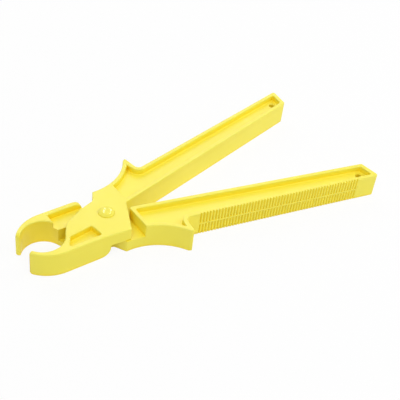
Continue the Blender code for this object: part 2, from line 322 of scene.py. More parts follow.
class PULLER_PG_finish(PropertyGroup):
    """Colours and surface of the moulded plastic."""

    lever_colour: FloatVectorProperty(
        name="Lever colour",
        description="Main yellow of the levers",
        default=(0.97, 0.857, 0.074),
        subtype="COLOR",
        min=0.0,
        max=1.0,
    )
    lever_shade: FloatVectorProperty(
        name="Lever shade",
        description="Second yellow that clouds the levers faintly",
        default=(0.955, 0.84, 0.068),
        subtype="COLOR",
        min=0.0,
        max=1.0,
    )
    # Painted light: the pin's yellow is lighter than the levers' to offset the shade on its domed
    # head
    pin_colour_painted_lighter: FloatVectorProperty(
        name="Pin colour",
        description="Yellow of the rivet pin",
        default=(0.99, 0.90, 0.095),
        subtype="COLOR",
        min=0.0,
        max=1.0,
    )
    # Painted shade: colour that darkens and warms inner corners and the mouths of grooves
    nook_painted_shade: FloatVectorProperty(
        name="Nook tint",
        description="What inner corners and the mouths of grooves keep of the colour",
        default=(1.0, 0.88, 0.17),
        subtype="COLOR",
        min=0.0,
        max=1.0,
    )
    # Painted shade: colour that darkens and warms narrow gaps and the bottoms of grooves
    gap_painted_shade: FloatVectorProperty(
        name="Gap tint",
        description="What narrow gaps and the bottoms of grooves keep of the colour",
        default=(0.84, 0.66, 0.20),
        subtype="COLOR",
        min=0.0,
        max=1.0,
    )
    # Painted shade: colour that darkens and warms the round of the jaws and their inner walls
    hollow_painted_shade: FloatVectorProperty(
        name="Hollow tint",
        description="What the round of the jaws and their inner walls keep of the colour",
        default=(1.0, 0.95, 0.60),
        subtype="COLOR",
        min=0.0,
        max=1.0,
    )
    # Wear and painted highlight: paler colour laid in patches on the rounded edges of the faces
    worn_and_highlight_colour: FloatVectorProperty(
        name="Worn edge colour",
        description="Paler yellow of rubbed edges",
        default=(0.96, 0.90, 0.15),
        subtype="COLOR",
        min=0.0,
        max=1.0,
    )
    lever_roughness: FloatProperty(
        name="Lever roughness",
        description="How dull the levers are",
        default=0.42,
        min=0.0,
        max=1.0,
    )
    pin_roughness: FloatProperty(
        name="Pin roughness",
        description="How dull the rivet pin is",
        default=0.14,
        min=0.0,
        max=1.0,
    )
    lever_grain: FloatProperty(
        name="Lever grain",
        description="Strength of the fine texture on the levers",
        default=0.6,
        min=0.0,
        max=1.0,
    )
    pin_grain: FloatProperty(
        name="Pin grain",
        description="Strength of the fine texture on the rivet pin",
        default=0.0,
        min=0.0,
        max=1.0,
    )
    grain_size: FloatProperty(
        name="Grain size",
        description="Size of the fine texture left by the mould",
        default=0.00030,
        unit="LENGTH",
        precision=5,
    )
    grain_depth: FloatProperty(
        name="Grain depth",
        description="Depth of the fine texture left by the mould",
        default=0.000025,
        unit="LENGTH",
        precision=6,
    )


class PULLER_PG_stage(PropertyGroup):
    """Camera, lamps and floor."""

    floor_colour: FloatVectorProperty(
        name="Floor colour",
        description="Colour of the floor",
        default=(0.95, 0.95, 0.95),
        subtype="COLOR",
        min=0.0,
        max=1.0,
    )
    world_light: FloatProperty(
        name="Surrounding light",
        description="Strength of the white light from all round",
        default=0.29,
        min=0.0,
    )
    key_power: FloatProperty(
        name="Key lamp",
        description="Power of the large lamp over the camera",
        default=12.6,
        min=0.0,
        unit="POWER",
    )
    side_power: FloatProperty(
        name="Side lamp",
        description="Power of the large lamp on the handles' side",
        default=2.35,
        min=0.0,
        unit="POWER",
    )
    back_power: FloatProperty(
        name="Back lamp",
        description="Power of the large lamp behind the tool",
        default=3.5,
        min=0.0,
        unit="POWER",
    )
    strip_power: FloatProperty(
        name="Strip lamps",
        description="Power of each of the two narrow lamps that glint on the pin",
        default=1.3,
        min=0.0,
        unit="POWER",
    )
    azimuth: FloatProperty(
        name="Azimuth",
        description="Direction of the camera round the tool",
        default=math.radians(-40.685),
        subtype="ANGLE",
    )
    elevation: FloatProperty(
        name="Elevation",
        description="Height of the camera above the horizon",
        default=math.radians(40.116),
        subtype="ANGLE",
    )
    roll: FloatProperty(
        name="Roll",
        description="Turn of the camera about its own axis",
        default=math.radians(7.669),
        subtype="ANGLE",
    )
    distance: FloatProperty(
        name="Distance",
        description="From the camera to the pivot, along the camera's axis",
        default=0.42503,
        unit="LENGTH",
    )
    right: FloatProperty(
        name="To the right",
        description="How far the camera's axis passes to the right of the pivot",
        default=0.046468,
        unit="LENGTH",
    )
    up: FloatProperty(
        name="Upwards",
        description="How far the camera's axis passes above the pivot in the picture",
        default=0.016225,
        unit="LENGTH",
    )
    lens: FloatProperty(
        name="Lens",
        description="Focal length of the camera on a 36 mm frame",
        default=77.761,
        subtype="DISTANCE_CAMERA",
    )


def add(a, b):
    return (a[0] + b[0], a[1] + b[1])


def polar(radius, angle):
    return (radius * math.cos(angle), radius * math.sin(angle))


def turned(point, angle):
    x, y = point
    c = math.cos(angle)
    s = math.sin(angle)
    return (x * c - y * s, x * s + y * c)


def handle_point(s, t):
    return turned((s, t), HANDLE_ANGLE)


def arc(centre, radius, start, end, steps):
    sweep = end - start
    return [add(centre, polar(radius, start + sweep * i / steps)) for i in range(steps + 1)]


def circle(centre, radius, steps):
    return arc(centre, radius, 0.0, 2.0 * math.pi * (steps - 1) / steps, steps - 1)


def meet(p, p_angle, q, q_angle):
    """Where the line through p at p_angle meets the line through q at q_angle."""
    d = polar(1.0, p_angle)
    e = polar(1.0, q_angle)
    across = d[0] * e[1] - d[1] * e[0]
    along = ((q[0] - p[0]) * e[1] - (q[1] - p[1]) * e[0]) / across
    return (p[0] + d[0] * along, p[1] + d[1] * along)


def rounded(corners):
    """Outline through corners (x, y, radius), each corner replaced by its tangent arc."""
    outline = []
    count = len(corners)
    for i, (x, y, radius) in enumerate(corners):
        here = Vector((x, y))
        if radius <= 0.0:
            outline.append((x, y))
            continue
        back = (Vector(corners[i - 1][:2]) - here).normalized()
        ahead = (Vector(corners[(i + 1) % count][:2]) - here).normalized()
        half = back.angle(ahead) / 2.0
        reach = radius / math.tan(half)
        centre = here + (back + ahead).normalized() * radius / math.sin(half)
        first = here + back * reach - centre
        last = here + ahead * reach - centre
        start = math.atan2(first.y, first.x)
        sweep = math.remainder(math.atan2(last.y, last.x) - start, 2.0 * math.pi)
        steps = max(2, math.ceil(abs(sweep) / ROUND_STEP))
        outline += arc(centre, radius, start, start + sweep, steps)
    return outline


def corner_list(points, radius=0.0):
    return [(x, y, radius) for x, y in points]


def front_edge():
    """Where the plate's straight front edge leaves its round, and its root at the sweep."""
    tangent = polar(PLATE_RADIUS + LAP_GAP / 2.0, FRONT_NORMAL)
    return tangent, add(tangent, polar(-FRONT_LEAD, FRONT_ALONG))


def sweep_height(s, radius):
    """Height t of the guard's hollow sweep at s, for its edge or for its rim's inner side."""
    return SWEEP_CENTRE_T - math.sqrt(radius ** 2 - (s - SWEEP_LOW_AT) ** 2)


def sweep_points(s_start, s_end, radius, steps):
    points = []
    for i in range(steps + 1):
        s = s_start + (s_end - s_start) * i / steps
        points.append(handle_point(s, sweep_height(s, radius)))
    return points


def jaw_nose():
    """Outer curve of the jaw: leaves the straight side at a tangent and ends at the tip."""
    run = JAW_TIP_REACH - JAW_STRAIGHT_END
    drop = JAW_HALF_WIDTH - JAW_TIP_SIDE
    radius = (run ** 2 + drop ** 2) / (2.0 * drop)
    centre = (-JAW_STRAIGHT_END, radius - JAW_HALF_WIDTH)
    start = math.atan2(-JAW_TIP_SIDE - centre[1], -JAW_TIP_REACH - centre[0])
    return arc(centre, radius, start, -math.pi / 2.0, NOSE_STEPS)


def jaw_hollow():
    """Round of the jaw that grips the fuse, from the throat to the tip."""
    tip = add((-JAW_TIP_REACH, -JAW_TIP_SIDE), polar(JAW_TIP_WIDTH, JAW_TIP_SLANT))
    start = -math.asin(THROAT_HALF_WIDTH / FUSE_RADIUS)
    end = math.atan2(tip[1], tip[0] + FUSE_CENTRE)
    return arc(FUSE_AXIS, FUSE_RADIUS, start, end, HOLLOW_STEPS)


def hole_place():
    return handle_point(HANDLE_LENGTH - HOLE_FROM_END, (INNER_OFFSET + OUTER_AT_END) / 2.0)


def lever_outline():
    """The lever seen from above, from the handle's root round by its end, the guard and the jaw."""
    rear = -REAR_ANGLE
    rear_tangent = polar(PLATE_RADIUS, rear)
    front_tangent, front_root = front_edge()
    inner = handle_point(0.0, INNER_OFFSET)
    root = meet(rear_tangent, rear + math.pi / 2.0, inner, HANDLE_ANGLE)
    near = add(rear_tangent, polar(NEAR_CORNER_DROP, rear - math.pi / 2.0))
    sweep = sweep_points(TIP_FRONT, SWEEP_START, SWEEP_RADIUS, SWEEP_STEPS)
    corners = corner_list([root], CORNER_ROUND)
    corners += corner_list([handle_point(HANDLE_LENGTH, INNER_OFFSET)], END_ROUND)
    corners += corner_list([handle_point(OUTER_END, OUTER_AT_END)], END_ROUND)
    corners += corner_list([handle_point(GUARD_AT, OUTER_AT_GUARD)], GUARD_ROOT_ROUND)
    corners += corner_list([handle_point(GUARD_AT + GUARD_LEAN, TIP_T + GUARD_CROWN)], CORNER_ROUND)
    corners += corner_list(sweep[:-1])
    corners += corner_list(sweep[-1:], CORNER_ROUND)
    corners += corner_list([front_root], FRONT_ROOT_ROUND)
    corners += corner_list([add(front_tangent, polar(FRONT_RUN, FRONT_ALONG))], FLANGE_ROUND)
    corners += corner_list([(THROAT_AT + FLANGE_CORNER_BACK, FLANGE_CORNER_SIDE)], FLANGE_ROUND)
    corners += corner_list([(THROAT_AT + FLANGE_NOSE_BACK, 0.0)], CORNER_ROUND)
    hollow = jaw_hollow()
    nose = jaw_nose()
    corners += corner_list(hollow[:-1])
    corners += corner_list([hollow[-1], nose[0]], CORNER_ROUND)
    corners += corner_list(nose[1:])
    corners += corner_list([(-PLATE_RADIUS, -JAW_HALF_WIDTH)])
    corners += corner_list([near], CORNER_ROUND)
    return rounded(corners)


def handle_recess_outline():
    """Recess in each face of the handle: the outline brought in by the rim."""
    wall = STOP_FACE + STOP_WALL
    inner_t = INNER_OFFSET + RIM
    outer_start = (GUARD_AT, OUTER_AT_GUARD - RIM / math.cos(OUTER_TILT))
    end_start = (HANDLE_LENGTH - END_RIM / math.sin(END_TILT), INNER_OFFSET)
    end_in = meet(end_start, END_TILT, (0.0, inner_t), 0.0)
    end_out = meet(end_start, END_TILT, outer_start, OUTER_TILT)
    guard_s = GUARD_AT - RIM
    lean = math.sin(HANDLE_ANGLE)
    start_in = (wall + inner_t * lean) / math.cos(HANDLE_ANGLE)
    start_out = (wall + outer_start[1] * lean) / math.cos(HANDLE_ANGLE)
    corners = corner_list([handle_point(start_in, inner_t)], RECESS_ROUND)
    corners += corner_list([handle_point(*end_in)], RECESS_ROUND)
    corners += corner_list([handle_point(*end_out)], RECESS_ROUND)
    corners += corner_list([handle_point(guard_s, outer_start[1])], GUARD_ROOT_ROUND + RIM)
    sweep = sweep_points(guard_s, start_out, SWEEP_RADIUS + RIM, RECESS_SWEEP_STEPS)
    corners += corner_list(sweep)
    return rounded(corners)


def heel_line():
    """A point and the direction of the jaw's heel in the plan, towards the jaw's side.

    The heel lies where the front edge of the other plate comes at full opening.
    """
    front_root = front_edge()[1]
    sweep_end = handle_point(SWEEP_START, sweep_height(SWEEP_START, SWEEP_RADIUS))
    line = []
    for point in (front_root, sweep_end):
        x, y = turned(point, OPEN_ANGLE)
        line.append((x - SWING_GAP, -y))
    low, high = line
    return low, math.atan2(high[1] - low[1], high[0] - low[0])


def half_lap_outline():
    """Room for the other lever's plate, from the jaw's heel to the stop face."""
    low, direction = heel_line()
    foot = meet(low, direction, (0.0, 0.0), direction + math.pi / 2.0)
    touch = math.sqrt(SEAT_RADIUS ** 2 - foot[0] ** 2 - foot[1] ** 2)
    seat = add(foot, polar(touch, direction))
    outer = meet(low, direction, (0.0, -OUTSIDE), 0.0)
    inner = handle_point(0.0, INNER_OFFSET + STOP_ROUND)
    stop_centre = meet((STOP_FACE + STOP_ROUND, 0.0), math.pi / 2.0, inner, HANDLE_ANGLE)
    inward = HANDLE_ANGLE - math.pi / 2.0
    seat_end = math.atan2(seat[1], seat[0])
    points = arc((0.0, 0.0), SEAT_RADIUS, SEAT_START, seat_end, SEAT_STEPS)
    points += [outer, (OUTSIDE, -OUTSIDE), add(stop_centre, polar(STOP_ROUND + OVERCUT, inward))]
    points += arc(stop_centre, STOP_ROUND, inward, -math.pi, STOP_STEPS)
    points += [(STOP_FACE, OUTSIDE), (-SEAT_RADIUS, OUTSIDE)]
    return points


def throat_outline():
    """Room for the other jaw's web in front of the pivot, under the flange."""
    start = -math.pi + math.asin(THROAT_HALF_WIDTH / PLATE_RADIUS)
    end = FRONT_NORMAL + THROAT_LEAD - 2.0 * math.pi
    points = [(-OUTSIDE, -THROAT_HALF_WIDTH)]
    points += arc((0.0, 0.0), PLATE_RADIUS, start, end, THROAT_STEPS)
    points += [polar(OUTSIDE, end), (-OUTSIDE, OUTSIDE)]
    return points


def jaw_lower_recess_outline():
    """Recess in the jaw's lap face, open to the throat, with a rim along the outer side."""
    corners = corner_list([(-NOSE_SOLID_AT, -JAW_INNER)], RECESS_ROUND)
    corners += corner_list([(0.0, -JAW_INNER), (0.0, 0.0), (-NOSE_SOLID_AT, 0.0)])
    return rounded(corners)


def jaw_upper_recess_outline():
    """Closed recess in the jaw's outer face, inside the throat rim and the outer rim."""
    corners = [
        (-JAW_RECESS_ROOT, -THROAT_HALF_WIDTH - THROAT_RIM),
        add(FUSE_AXIS, polar(FUSE_RADIUS + RIM, JAW_RECESS_SIDE)),
        (-JAW_RECESS_NOSE, -JAW_INNER),
        (-JAW_RECESS_HEEL, -JAW_INNER),
    ]
    return rounded(corner_list(corners, RECESS_ROUND))


def pick(piece):
    """Make one piece the only selected one."""
    bpy.ops.object.select_all(action="DESELECT")
    piece.select_set(True)
    bpy.context.view_layer.objects.active = piece


def settle(piece):
    """Put the piece's place into its mesh, with the object at the origin."""
    pick(piece)
    bpy.ops.object.transform_apply(location=True, rotation=True, scale=True)


def traced_line(name, points):
    """Shrink a small plane to one vertex and extrude that vertex from point to point."""
    bpy.ops.object.select_all(action="DESELECT")
    bpy.ops.mesh.primitive_plane_add(size=FINE_WELD, location=points[0])
    piece = bpy.context.object
    piece.name = name
    settle(piece)
    bpy.ops.object.mode_set(mode="EDIT")
    bpy.ops.mesh.select_all(action="SELECT")
    bpy.ops.mesh.merge(type="CENTER")
    for here, there in zip(points[:-1], points[1:]):
        step = Vector(there) - Vector(here)
        bpy.ops.mesh.extrude_region_move(TRANSFORM_OT_translate={"value": step})
    bpy.ops.mesh.select_all(action="SELECT")
    return piece


def drawn_out(name, points, path):
    """Trace a closed line of points, fill it and draw it out along a path to a block."""
    piece = traced_line(name, points)
    bpy.ops.mesh.edge_face_add()
    bpy.ops.mesh.extrude_region_move(TRANSFORM_OT_translate={"value": path})
    bpy.ops.mesh.select_all(action="SELECT")
    bpy.ops.mesh.normals_make_consistent(inside=False)
    bpy.ops.object.mode_set(mode="OBJECT")
    return piece


def upright_block(name, outline, low, high):
    """A block with that outline in the plan, from low to high."""
    return drawn_out(name, [(x, y, low) for x, y in outline], (0.0, 0.0, high - low))


def use_modifier(piece, kind, **values):
    """Add a modifier to the piece, set it and apply it."""
    pick(piece)
    bpy.ops.object.modifier_add(type=kind)
    modifier = piece.modifiers[-1]
    for key, value in values.items():
        setattr(modifier, key, value)
    bpy.ops.object.modifier_apply(modifier=modifier.name)


def carve(piece, cutter):
    """Cut the cutter's shape out of the piece and remove the cutter."""
    use_modifier(piece, "BOOLEAN", operation="DIFFERENCE", solver="EXACT", object=cutter)
    bpy.data.objects.remove(cutter, do_unlink=True)


def weld(piece):
    """Merge close vertices and drop the lines that lie inside flat faces."""
    pick(piece)
    bpy.ops.object.mode_set(mode="EDIT")
    bpy.ops.mesh.select_all(action="SELECT")
    bpy.ops.mesh.remove_doubles(threshold=WELD)
    bpy.ops.mesh.dissolve_limited(angle_limit=FLAT_ANGLE)
    bpy.ops.object.mode_set(mode="OBJECT")


def round_edges(piece, radius, steps, wanted):
    """Round the sharp edges whose middle point is wanted, and mark the rounds by the two faces."""
    pick(piece)
    bpy.ops.object.mode_set(mode="EDIT")
    bpy.ops.mesh.select_mode(type="EDGE")
    bpy.ops.mesh.select_all(action="DESELECT")
    bpy.ops.mesh.edges_select_sharp(sharpness=SHARP_ANGLE)
    mesh = bmesh.from_edit_mesh(piece.data)
    for edge in mesh.edges:
        if edge.select and not wanted((edge.verts[0].co + edge.verts[1].co) / 2.0):
            edge.select_set(False)
    bmesh.update_edit_mesh(piece.data)
    bpy.ops.mesh.bevel(
        offset_type="OFFSET",
        offset=radius,
        segments=steps,
        affect="EDGES",
        clamp_overlap=False,
        loop_slide=False,
    )
    mesh = bmesh.from_edit_mesh(piece.data)
    # Rounded edges near the faces are marked to be painted paler, as wear and as a painted
    # highlight
    rubbed_and_highlight = mesh.faces.layers.float.new(WORN_AND_HIGHLIGHT_EDGES)
    for face in mesh.faces:
        from_middle = abs(face.calc_center_median().z - MIDDLE)
        if face.select and from_middle > MIDDLE - radius:
            face[rubbed_and_highlight] = 1.0
    bmesh.update_edit_mesh(piece.data)
    bpy.ops.mesh.select_mode(type="VERT")
    bpy.ops.object.mode_set(mode="OBJECT")


def off_line(point, line):
    """How far a point lies from a closed line in the plan."""
    distances = []
    for start, end in zip(line, line[1:] + line[:1]):
        run = Vector(end) - Vector(start)
        along = (point - Vector(start)).dot(run) / max(run.length_squared, FINE_WELD ** 2)
        foot = Vector(start) + run * min(max(along, 0.0), 1.0)
        distances.append((point - foot).length)
    return min(distances)


def mark_walls(piece):
    """Mark how upright each face is, and which are on the jaw's round or inside its outline, for
    painted shade.
    """
    piece.data.attributes.new(UPRIGHT, "FLOAT", "FACE")
    piece.data.attributes.new(HOLLOW_PAINTED_SHADE, "FLOAT", "FACE")
    upright = piece.data.attributes[UPRIGHT].data
    hollow = piece.data.attributes[HOLLOW_PAINTED_SHADE].data
    outline = lever_outline()
    for face in piece.data.polygons:
        lean = abs(face.normal.z)
        upright[face.index].value = 1.0 - lean
        if lean > MOST_LEAN or face.center.x > JAW_WALLS_FROM:
            continue
        on_round = abs(math.dist(face.center[:2], FUSE_AXIS) - FUSE_RADIUS) < ON_LINE
        if on_round or off_line(face.center.xy, outline) > ON_LINE:
            hollow[face.index].value = 1.0


def open_edge(middle):
    """Whether the mould rounds an edge: not in the lap, jaw's lower recess, pin's seat or hole."""
    in_lap = abs(middle.z - MIDDLE - LAP_GAP / 2.0) < WELD
    inside = middle.x < 0.0 and middle.y > -JAW_INNER - WELD
    in_recess = inside and abs(middle.z - RECESS) < WELD
    in_seat = math.hypot(middle.x, middle.y) < PIN_HEAD_RADIUS + OVERCUT
    in_hole = math.dist(middle[:2], hole_place()) < HOLE_FROM_END / 2.0
    return not (in_lap or in_recess or in_seat or in_hole)


def smooth(piece):
    """Shade the rounds smoothly and keep the flats flat."""
    pick(piece)
    bpy.ops.object.shade_smooth_by_angle(angle=SMOOTH_ANGLE)
    use_modifier(piece, "WEIGHTED_NORMAL", mode="FACE_AREA", keep_sharp=True)


def groove_comb(sizes):
    """One V groove in two rows, copied along the handle's outer side."""
    outward = OUTER_TILT + math.pi / 2.0
    flare = sizes.groove_width / 2.0 * (sizes.groove_depth + OVERCUT) / sizes.groove_depth
    foot = add((GUARD_AT, OUTER_AT_GUARD), polar(GROOVE_START - GUARD_AT, OUTER_TILT))
    apex = add(foot, polar(-sizes.groove_depth, outward))
    face = add(foot, polar(OVERCUT, outward))
    left = add(face, polar(-flare, OUTER_TILT))
    right = add(face, polar(flare, OUTER_TILT))
    outline = [handle_point(*p) for p in (apex, right, left)]
    low_row = upright_block("groove_row", outline, -OVERCUT, MIDDLE - GROOVE_RIB / 2.0)
    high_row = upright_block("groove_comb", outline, MIDDLE + GROOVE_RIB / 2.0, THICKNESS + OVERCUT)
    bpy.ops.object.select_all(action="DESELECT")
    low_row.select_set(True)
    high_row.select_set(True)
    bpy.context.view_layer.objects.active = high_row
    bpy.ops.object.join()
    step = turned(polar(sizes.groove_pitch, OUTER_TILT), HANDLE_ANGLE)
    use_modifier(
        high_row,
        "ARRAY",
        count=sizes.groove_count,
        use_relative_offset=False,
        use_constant_offset=True,
        constant_offset_displace=(step[0], step[1], 0.0),
    )
    return high_row


def end_rounder(name, start, end, radius, face):
    """A block with a hollow side that rounds a jaw's end over the edge at a face, low or high.

    The end runs from start to end in the plan, with the jaw on its right.
    """
    direction = math.atan2(end[1] - start[1], end[0] - start[0])
    across = direction + math.pi / 2.0
    inward = 1.0 if face < MIDDLE else -1.0
    profile = arc((-radius, radius), radius, 0.0, -math.pi / 2.0, END_ROUND_STEPS)
    profile += [(-radius, -OVERCUT), (OVERCUT, -OVERCUT), (OVERCUT, radius)]
    points = []
    for a, rise in profile:
        x, y = add(add(start, polar(-OVERCUT, direction)), polar(a, across))
        points.append((x, y, face + inward * rise))
    x, y = polar(math.dist(start, end) + 2.0 * OVERCUT, direction)
    return drawn_out(name, points, (x, y, 0.0))


def modelled_lever(sizes):
    """The lever whose plate lies on top, from its plan."""
    lever = upright_block("upper_lever_moulding", lever_outline(), 0.0, THICKNESS)
    above = THICKNESS + OVERCUT
    below = -OVERCUT
    recess = handle_recess_outline()
    bore = circle((0.0, 0.0), PIN_RADIUS + PIN_FIT, BORE_STEPS)
    seat = circle((0.0, 0.0), PIN_HEAD_RADIUS + PIN_FIT / 2.0, BORE_STEPS)
    hole = circle(hole_place(), sizes.hole_diameter / 2.0, HOLE_STEPS)
    cuts = [
        ("half_lap", half_lap_outline(), below, MIDDLE + LAP_GAP / 2.0),
        ("throat", throat_outline(), below, WEB_TOP + LAP_GAP),
        ("jaw_lower_recess", jaw_lower_recess_outline(), below, RECESS),
        ("jaw_upper_recess", jaw_upper_recess_outline(), WEB_TOP, above),
        ("handle_upper_recess", recess, WEB_TOP, above),
        ("handle_lower_recess", recess, below, RECESS),
        ("pivot_bore", bore, below, above),
        ("pin_seat", seat, THICKNESS - HEAD_SEAT, above),
        ("hang_hole", hole, below, above),
    ]
    for name, outline, low, high in cuts:
        carve(lever, upright_block(name, outline, low, high))
    low, direction = heel_line()
    side = meet(low, direction, (0.0, -JAW_HALF_WIDTH), 0.0)
    carve(lever, end_rounder("heel_rounder", low, side, JAW_HEEL_ROUND, 0.0))
    outer_tip = jaw_nose()[0]
    inner_tip = jaw_hollow()[-1]
    for face in (0.0, THICKNESS):
        carve(lever, end_rounder("tip_rounder", outer_tip, inner_tip, JAW_TIP_ROUND, face))
    weld(lever)
    round_edges(lever, sizes.edge_round, sizes.edge_steps, open_edge)
    mark_walls(lever)
    carve(lever, groove_comb(sizes))
    return lever


def turned_over(lever, name):
    """A copy of the lever with its own mesh, turned over about the X axis."""
    pick(lever)
    bpy.ops.object.duplicate(linked=False)
    copy = bpy.context.object
    copy.name = name
    bpy.ops.transform.rotate(
        value=math.pi,
        orient_axis="X",
        orient_type="GLOBAL",
        center_override=(0.0, 0.0, MIDDLE),
    )
    settle(copy)
    return copy


def modelled_pin(sizes):
    """The rivet pin, spun from half its section."""
    head_top = HEAD_SEAT - LAP_GAP
    dome_low = THICKNESS - head_top
    section = [
        (0.0, 0.0),
        (PIN_HEAD_RADIUS - PIN_CHAMFER, 0.0),
        (PIN_HEAD_RADIUS, PIN_CHAMFER),
        (PIN_HEAD_RADIUS, head_top),
        (PIN_RADIUS, head_top),
        (PIN_RADIUS, dome_low),
        (PIN_HEAD_RADIUS, dome_low),
    ]
    power = 2.0 / sizes.dome_fullness
    for i in range(sizes.dome_steps):
        angle = math.pi / 2.0 * i / sizes.dome_steps
        rise = sizes.dome_rise * math.sin(angle) ** power
        section.append((PIN_HEAD_RADIUS * math.cos(angle) ** power, THICKNESS + rise))
    section.append((0.0, THICKNESS + sizes.dome_rise))
    pin = traced_line("pivot_pin_moulding", [(r, 0.0, z) for r, z in section])
    bpy.ops.mesh.spin(
        steps=sizes.steps,
        angle=2.0 * math.pi,
        center=(0.0, 0.0, 0.0),
        axis=(0.0, 0.0, 1.0),
    )
    bpy.ops.mesh.select_all(action="SELECT")
    bpy.ops.mesh.remove_doubles(threshold=FINE_WELD)
    bpy.ops.mesh.normals_make_consistent(inside=False)
    bpy.ops.object.mode_set(mode="OBJECT")
    return pin


def coat(piece, material):
    piece.data.materials.clear()
    piece.data.materials.append(material)


def link(tree, source, output, target, socket):
    tree.links.new(source.outputs[output], target.inputs[socket])


def node(tree, kind, x, y, **values):
    """Add a node at a place in the editor. Values name its properties or its sockets."""
    made = tree.nodes.new(kind)
    made.location = (x, y)
    for key, value in values.items():
        if hasattr(made, key):
            setattr(made, key, value)
        else:
            made.inputs[key.replace("_", " ")].default_value = value
    return made


def opaque(colour):
    return (colour[0], colour[1], colour[2], 1.0)


def colour_mix(tree, x, y, first, second, **values):
    """A node that mixes two colours, each of them fixed or the output of another node."""
    mix = node(tree, "ShaderNodeMix", x, y, data_type="RGBA", **values)
    for socket, colour in ((MIX_FIRST, first), (MIX_SECOND, second)):
        if isinstance(colour, bpy.types.NodeSocket):
            tree.links.new(colour, mix.inputs[socket])
        else:
            mix.inputs[socket].default_value = opaque(colour)
    return mix


def moulded_plastic(name, finish, colour, shade, roughness, grain):
    """Satin moulded plastic: faintly clouded colour, edges painted paler as wear and as a painted
    highlight, and the mould's fine grain.

    Nooks, gaps and the walls of the jaws are painted darker and warmer: painted shade, as where
    yellow walls light each other.
    """
    material = bpy.data.materials.new(name)
    material.use_nodes = True
    tree = material.node_tree
    shader = tree.nodes["Principled BSDF"]
    shader.inputs["IOR"].default_value = PLASTIC_IOR
    place = node(tree, "ShaderNodeTexCoord", -1400, 0)

    cloud = node(tree, "ShaderNodeTexNoise", -1150, 350, Scale=55.0, Detail=3.0, Roughness=0.55)
    link(tree, place, "Object", cloud, "Vector")
    spread = node(tree, "ShaderNodeMapRange", -920, 350, From_Min=0.35, From_Max=0.65)
    link(tree, cloud, "Fac", spread, "Value")
    clouded = colour_mix(tree, -700, 350, shade, colour)
    link(tree, spread, "Result", clouded, MIX_FACTOR)

    # Painted shade: nooks, gaps and grooves are darkened and warmed by how closed in they are,
    # fully on upright faces and less on level ones
    nook = node(tree, "ShaderNodeAmbientOcclusion", -1150, 550, samples=8, Distance=NOOK_SHADE_REACH)
    depth = node(tree, "ShaderNodeValToRGB", -920, 550)
    stops = depth.color_ramp.elements
    stops[0].position = GAP_OPEN
    stops[0].color = opaque(finish.gap_painted_shade)
    stops[1].position = FULLY_OPEN
    stops[1].color = opaque(WHITE)
    stops.new(NOOK_OPEN).color = opaque(finish.nook_painted_shade)
    link(tree, nook, "AO", depth, "Fac")
    wall = node(tree, "ShaderNodeAttribute", -1150, 1200, attribute_name=UPRIGHT)
    share = node(tree, "ShaderNodeMapRange", -920, 1200, To_Min=LEVEL_SHARE)
    link(tree, wall, "Fac", share, "Value")
    warm = colour_mix(
        tree, -570, 350, clouded.outputs[MIX_RESULT], depth.outputs["Color"], blend_type="MULTIPLY"
    )
    link(tree, share, "Result", warm, MIX_FACTOR)

    # Painted shade: the round of the jaws and their inner walls are darkened and warmed
    jaw = node(tree, "ShaderNodeAttribute", -920, 800, attribute_name=HOLLOW_PAINTED_SHADE)
    inner = colour_mix(
        tree, -510, 550, warm.outputs[MIX_RESULT], finish.hollow_painted_shade, blend_type="MULTIPLY"
    )
    link(tree, jaw, "Fac", inner, MIX_FACTOR)

    # Wear and painted highlight: the rounded edges of the faces are painted paler in patches
    edge = node(tree, "ShaderNodeAttribute", -1150, 700, attribute_name=WORN_AND_HIGHLIGHT_EDGES)
    edge_patches = node(tree, "ShaderNodeTexNoise", -1150, 950, Scale=420.0, Detail=4.0)
    link(tree, place, "Object", edge_patches, "Vector")
    rubbed_and_highlight = node(tree, "ShaderNodeMath", -700, 700, operation="MULTIPLY")
    link(tree, edge, "Fac", rubbed_and_highlight, 0)
    link(tree, edge_patches, "Fac", rubbed_and_highlight, 1)
    worn_and_highlight = colour_mix(tree, -450, 400, inner.outputs[MIX_RESULT], finish.worn_and_highlight_colour)
    link(tree, rubbed_and_highlight, 0, worn_and_highlight, MIX_FACTOR)
    link(tree, worn_and_highlight, MIX_RESULT, shader, "Base Color")

    patches = node(tree, "ShaderNodeTexNoise", -1150, 0, Scale=260.0, Detail=4.0)
    link(tree, place, "Object", patches, "Vector")
    gloss = node(tree, "ShaderNodeMapRange", -700, 0, From_Min=0.3, From_Max=0.7)
    gloss.inputs["To Min"].default_value = roughness * (1.0 - GLOSS_SPREAD)
    gloss.inputs["To Max"].default_value = roughness * (1.0 + GLOSS_SPREAD)
    link(tree, patches, "Fac", gloss, "Value")
    link(tree, gloss, "Result", shader, "Roughness")

    fine = node(tree, "ShaderNodeTexNoise", -1150, -350, Scale=1.0 / finish.grain_size, Detail=2.0)
    link(tree, place, "Object", fine, "Vector")
    bump = node(tree, "ShaderNodeBump", -450, -350, Strength=grain, Distance=finish.grain_depth)
    link(tree, fine, "Fac", bump, "Height")
    link(tree, bump, "Normal", shader, "Normal")
    return material


class PULLER_OT_levers(Operator):
    """Model one lever and turn a copy of it over for the other"""

    bl_idname = "puller.levers"
    bl_label = "Levers"
    bl_options = {"REGISTER", "UNDO"}

    def execute(self, context):
        sizes = context.scene.puller_lever
        finish = context.scene.puller_finish
        plastic = moulded_plastic(
            "lever_plastic",
            finish,
            finish.lever_colour,
            finish.lever_shade,
            finish.lever_roughness,
            finish.lever_grain,
        )
        upper = modelled_lever(sizes)
        lower = turned_over(upper, "lower_lever_moulding")
        for lever, body in ((upper, "upper_lever"), (lower, "lower_lever")):
            smooth(lever)
            coat(lever, plastic)
            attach(lever, body)
            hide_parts(body)
        return {"FINISHED"}


